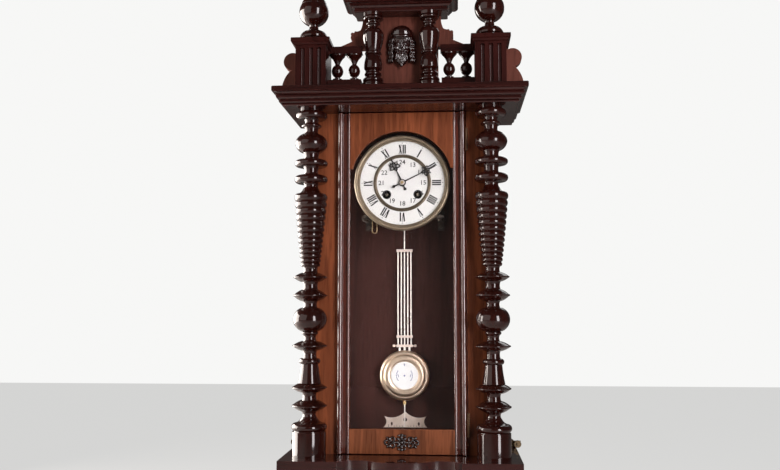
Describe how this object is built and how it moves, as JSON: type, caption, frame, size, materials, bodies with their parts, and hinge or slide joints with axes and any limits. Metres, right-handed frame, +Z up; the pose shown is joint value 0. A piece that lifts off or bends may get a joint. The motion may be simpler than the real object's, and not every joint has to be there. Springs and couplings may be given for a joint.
{
  "type": "pendulum wall clock",
  "caption": "Tall glazed wall clock in dark turned wood: hinged door between columns, enamel dial with pierced hands, gridiron pendulum, carved crest, wheels and a hammer on a coiled gong.",
  "frame": {"origin": "centre of the round hole of the wall hanger plate, on the plane of the wall", "axes": "+Z up, +Y into the wall, -Y out of the front of the dial, +X to the right as seen from the front"},
  "size_m": [0.438, 0.205, 1.077],
  "materials": {
    "turned_wood": "gloss",
    "moulded_wood": "gloss",
    "veneer": "satin",
    "case_wood": "satin",
    "interior_wood": "satin",
    "carved_wood": "gloss",
    "pane": "gloss",
    "brass": "satin",
    "aged_brass": "satin",
    "steel": "satin",
    "dark_steel": "gloss",
    "iron": "matt",
    "rod_metal": "satin",
    "bar_metal": "satin",
    "enamel": "gloss",
    "porcelain": "gloss",
    "scale_plate": "satin"
  },
  "bodies": {
    "case": {"backboard": "interior_wood", "case_boards": "case_wood", "side_frames": "veneer", "side_glasses": "pane", "front_stiles": "veneer", "column_left": "turned_wood", "column_right": "turned_wood", "main_cornice": "moulded_wood", "base_moulding": "moulded_wood", "base_plinth": "moulded_wood", "console": "case_wood", "pendant_drops": "turned_wood", "crest_slab": "moulded_wood", "crest_posts": "moulded_wood", "post_finials": "turned_wood", "gallery_rails": "moulded_wood", "gallery_spindles": "turned_wood", "crest_boards": "case_wood", "crest_columns": "turned_wood", "carved_head": "carved_wood", "pediment_cornice": "moulded_wood", "pediment_gable": "case_wood", "top_finial": "turned_wood", "hanger_plate": "steel", "fixing_screws": "steel", "leveller_lugs": "brass", "movement_bracket": "iron", "gong": "dark_steel", "beat_scale": "scale_plate", "movement_frame": "brass", "dial_plate": "enamel", "dial_rings": "aged_brass", "suspension_cock": "brass", "case_hinges": "aged_brass"},
    "door": {"door_stiles": "moulded_wood", "door_arch_panel": "veneer", "door_bottom_rail": "veneer", "door_glass": "pane", "door_ornament": "carved_wood", "door_hinges": "aged_brass"},
    "pendulum": {"pendulum_rods": "rod_metal", "pendulum_bars": "bar_metal", "bob_shell": "aged_brass", "bob_disc": "porcelain"},
    "rating_nut": {"rating_nut": "brass"},
    "anchor": {"anchor": "steel"},
    "minute": {"centre_arbor": "brass", "minute_hand": "dark_steel"},
    "hour": {"hour_wheel": "brass", "hour_hand": "dark_steel"},
    "minute_wheel": {"minute_wheel": "brass"},
    "third_wheel": {"third_wheel": "brass"},
    "escape_wheel": {"escape_wheel": "brass"},
    "time_barrel": {"time_barrel": "brass"},
    "strike_barrel": {"strike_barrel": "brass"},
    "hammer": {"hammer": "steel"},
    "time_winding_arbor": {"time_winding_arbor": "steel"},
    "strike_winding_arbor": {"strike_winding_arbor": "steel"},
    "leveller_left": {"leveller_left": "brass"},
    "leveller_right": {"leveller_right": "brass"}
  },
  "joints": [
    {"name": "door_swing", "type": "hinge", "parent": "case", "child": "door", "pos_m": [0.115, -0.1284, -0.26], "axis": [0, 0, 1], "range_deg": [0, 100]},
    {"name": "pendulum_swing", "type": "hinge", "parent": "case", "child": "pendulum", "pos_m": [0, -0.031, -0.042], "axis": [0, 1, 0], "range_deg": [-3, 3]},
    {"name": "anchor_rock", "type": "hinge", "parent": "case", "child": "anchor", "pos_m": [0, -0.06, -0.042], "axis": [0, 1, 0], "range_deg": [-3, 3]},
    {"name": "rating_nut_turn", "type": "hinge", "parent": "pendulum", "child": "rating_nut", "pos_m": [0, -0.031, -0.482], "axis": [0, 0, 1], "continuous": true},
    {"name": "minute_turn", "type": "hinge", "parent": "case", "child": "minute", "pos_m": [0, -0.06, -0.084], "axis": [0, 1, 0], "continuous": true},
    {"name": "hour_turn", "type": "hinge", "parent": "case", "child": "hour", "pos_m": [0, -0.06, -0.084], "axis": [0, 1, 0], "continuous": true},
    {"name": "minute_wheel_turn", "type": "hinge", "parent": "case", "child": "minute_wheel", "pos_m": [0.012, -0.06, -0.084], "axis": [0, 1, 0], "continuous": true},
    {"name": "third_wheel_turn", "type": "hinge", "parent": "case", "child": "third_wheel", "pos_m": [-0.01484, -0.06, -0.0683], "axis": [0, 1, 0], "continuous": true},
    {"name": "escape_wheel_turn", "type": "hinge", "parent": "case", "child": "escape_wheel", "pos_m": [0, -0.06, -0.06], "axis": [0, 1, 0], "continuous": true},
    {"name": "time_barrel_turn", "type": "hinge", "parent": "case", "child": "time_barrel", "pos_m": [0.028, -0.06, -0.105], "axis": [0, 1, 0], "continuous": true},
    {"name": "strike_barrel_turn", "type": "hinge", "parent": "case", "child": "strike_barrel", "pos_m": [-0.028, -0.06, -0.105], "axis": [0, 1, 0], "continuous": true},
    {"name": "time_winding", "type": "hinge", "parent": "case", "child": "time_winding_arbor", "pos_m": [0.028, -0.06, -0.105], "axis": [0, 1, 0], "continuous": true},
    {"name": "strike_winding", "type": "hinge", "parent": "case", "child": "strike_winding_arbor", "pos_m": [-0.028, -0.06, -0.105], "axis": [0, 1, 0], "continuous": true},
    {"name": "hammer_strike", "type": "hinge", "parent": "case", "child": "hammer", "pos_m": [-0.05, -0.06, -0.13], "axis": [0, 1, 0], "range_deg": [-14, 3.5], "stiffness_Nm_per_rad": 0.1},
    {"name": "leveller_left_turn", "type": "hinge", "parent": "case", "child": "leveller_left", "pos_m": [-0.205, -0.014, -0.554], "axis": [0, 1, 0], "continuous": true},
    {"name": "leveller_right_turn", "type": "hinge", "parent": "case", "child": "leveller_right", "pos_m": [0.205, -0.014, -0.554], "axis": [0, 1, 0], "continuous": true}
  ],
  "couplings": [
    {"joint": "anchor_rock", "follows": "pendulum_swing", "ratio": 1},
    {"joint": "hour_turn", "follows": "minute_turn", "ratio": 0.083333},
    {"joint": "minute_wheel_turn", "follows": "minute_turn", "ratio": -0.33333},
    {"joint": "third_wheel_turn", "follows": "minute_turn", "ratio": -8},
    {"joint": "escape_wheel_turn", "follows": "minute_turn", "ratio": 60},
    {"joint": "time_barrel_turn", "follows": "minute_turn", "ratio": -0.2}
  ]
}
